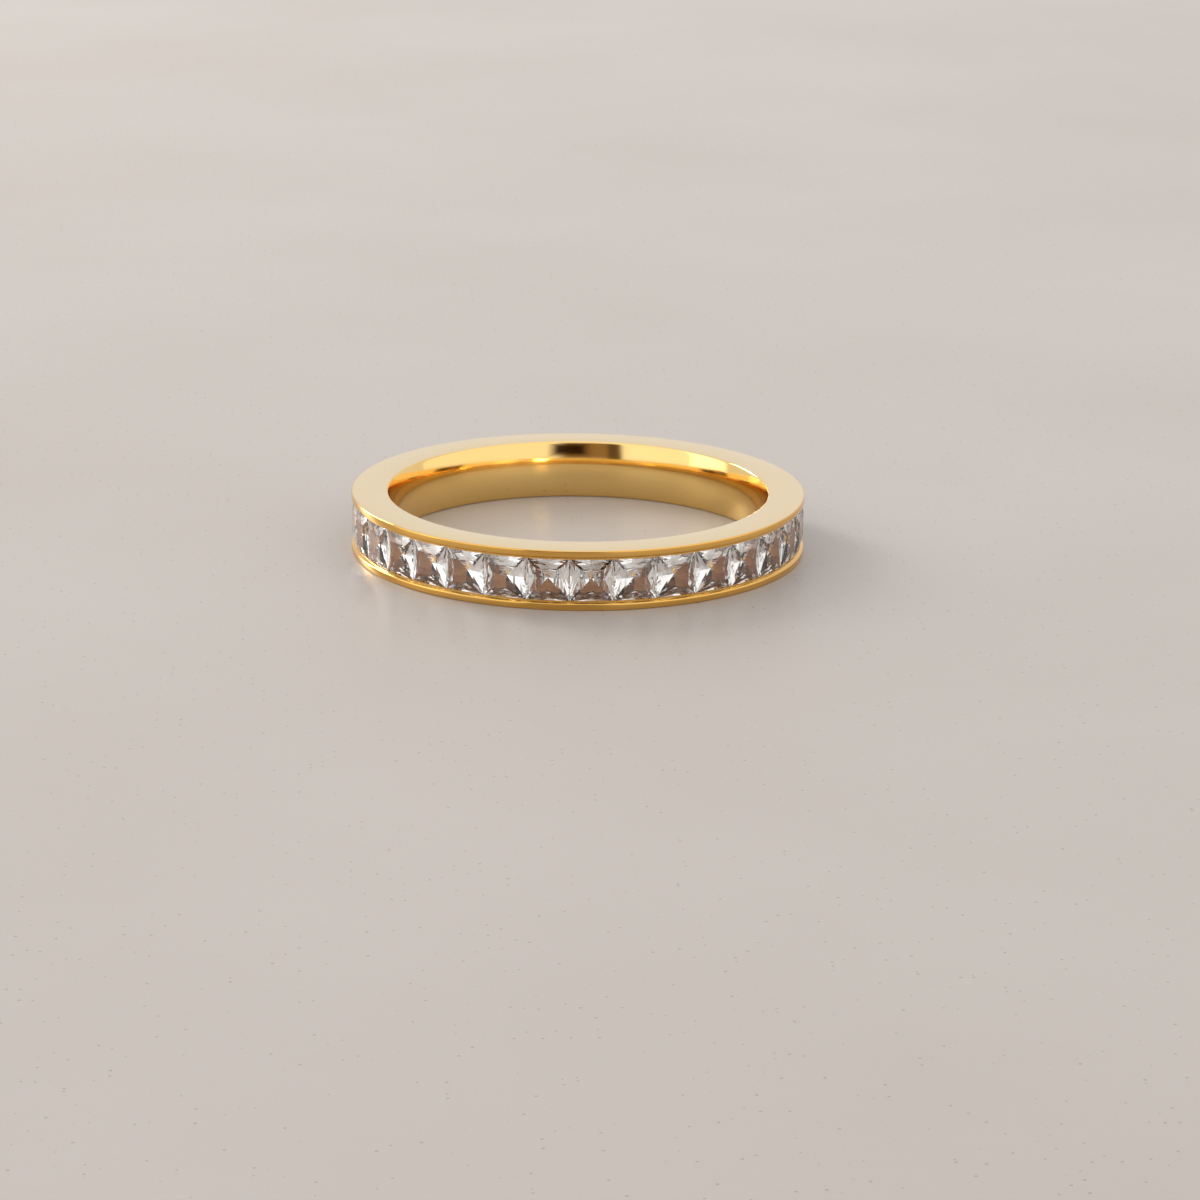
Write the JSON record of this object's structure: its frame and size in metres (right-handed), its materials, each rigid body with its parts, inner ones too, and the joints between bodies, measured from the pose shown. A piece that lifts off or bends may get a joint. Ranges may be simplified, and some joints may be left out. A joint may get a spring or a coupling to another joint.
{
  "type": "stackable ring",
  "caption": "Slim gold-coloured finger ring with a channel round its outside, filled edge to edge with square princess-cut clear stones between two plain rails, and flat sides for stacking.",
  "frame": {"origin": "centre of the ring's axis in the plane of its lower flat face, which it rests on", "axes": "+Z along the ring's axis, up as it lies on its side; the first stone faces -Y"},
  "size_m": [0.0208, 0.0208, 0.0027],
  "materials": {
    "gold": "polished yellow gold plating; flat sides with a fine lapped satin grain",
    "crystal": "clear colourless faceted stone, polished"
  },
  "bodies": {
    "root": {"band": "gold", "stone_01": "crystal", "stone_02": "crystal", "stone_03": "crystal", "stone_04": "crystal", "stone_05": "crystal", "stone_06": "crystal", "stone_07": "crystal", "stone_08": "crystal", "stone_09": "crystal", "stone_10": "crystal", "stone_11": "crystal", "stone_12": "crystal", "stone_13": "crystal", "stone_14": "crystal", "stone_15": "crystal", "stone_16": "crystal", "stone_17": "crystal", "stone_18": "crystal", "stone_19": "crystal", "stone_20": "crystal", "stone_21": "crystal", "stone_22": "crystal", "stone_23": "crystal", "stone_24": "crystal", "stone_25": "crystal", "stone_26": "crystal", "stone_27": "crystal", "stone_28": "crystal", "stone_29": "crystal", "stone_30": "crystal", "stone_31": "crystal", "stone_32": "crystal", "stone_33": "crystal"}
  },
  "joints": []
}
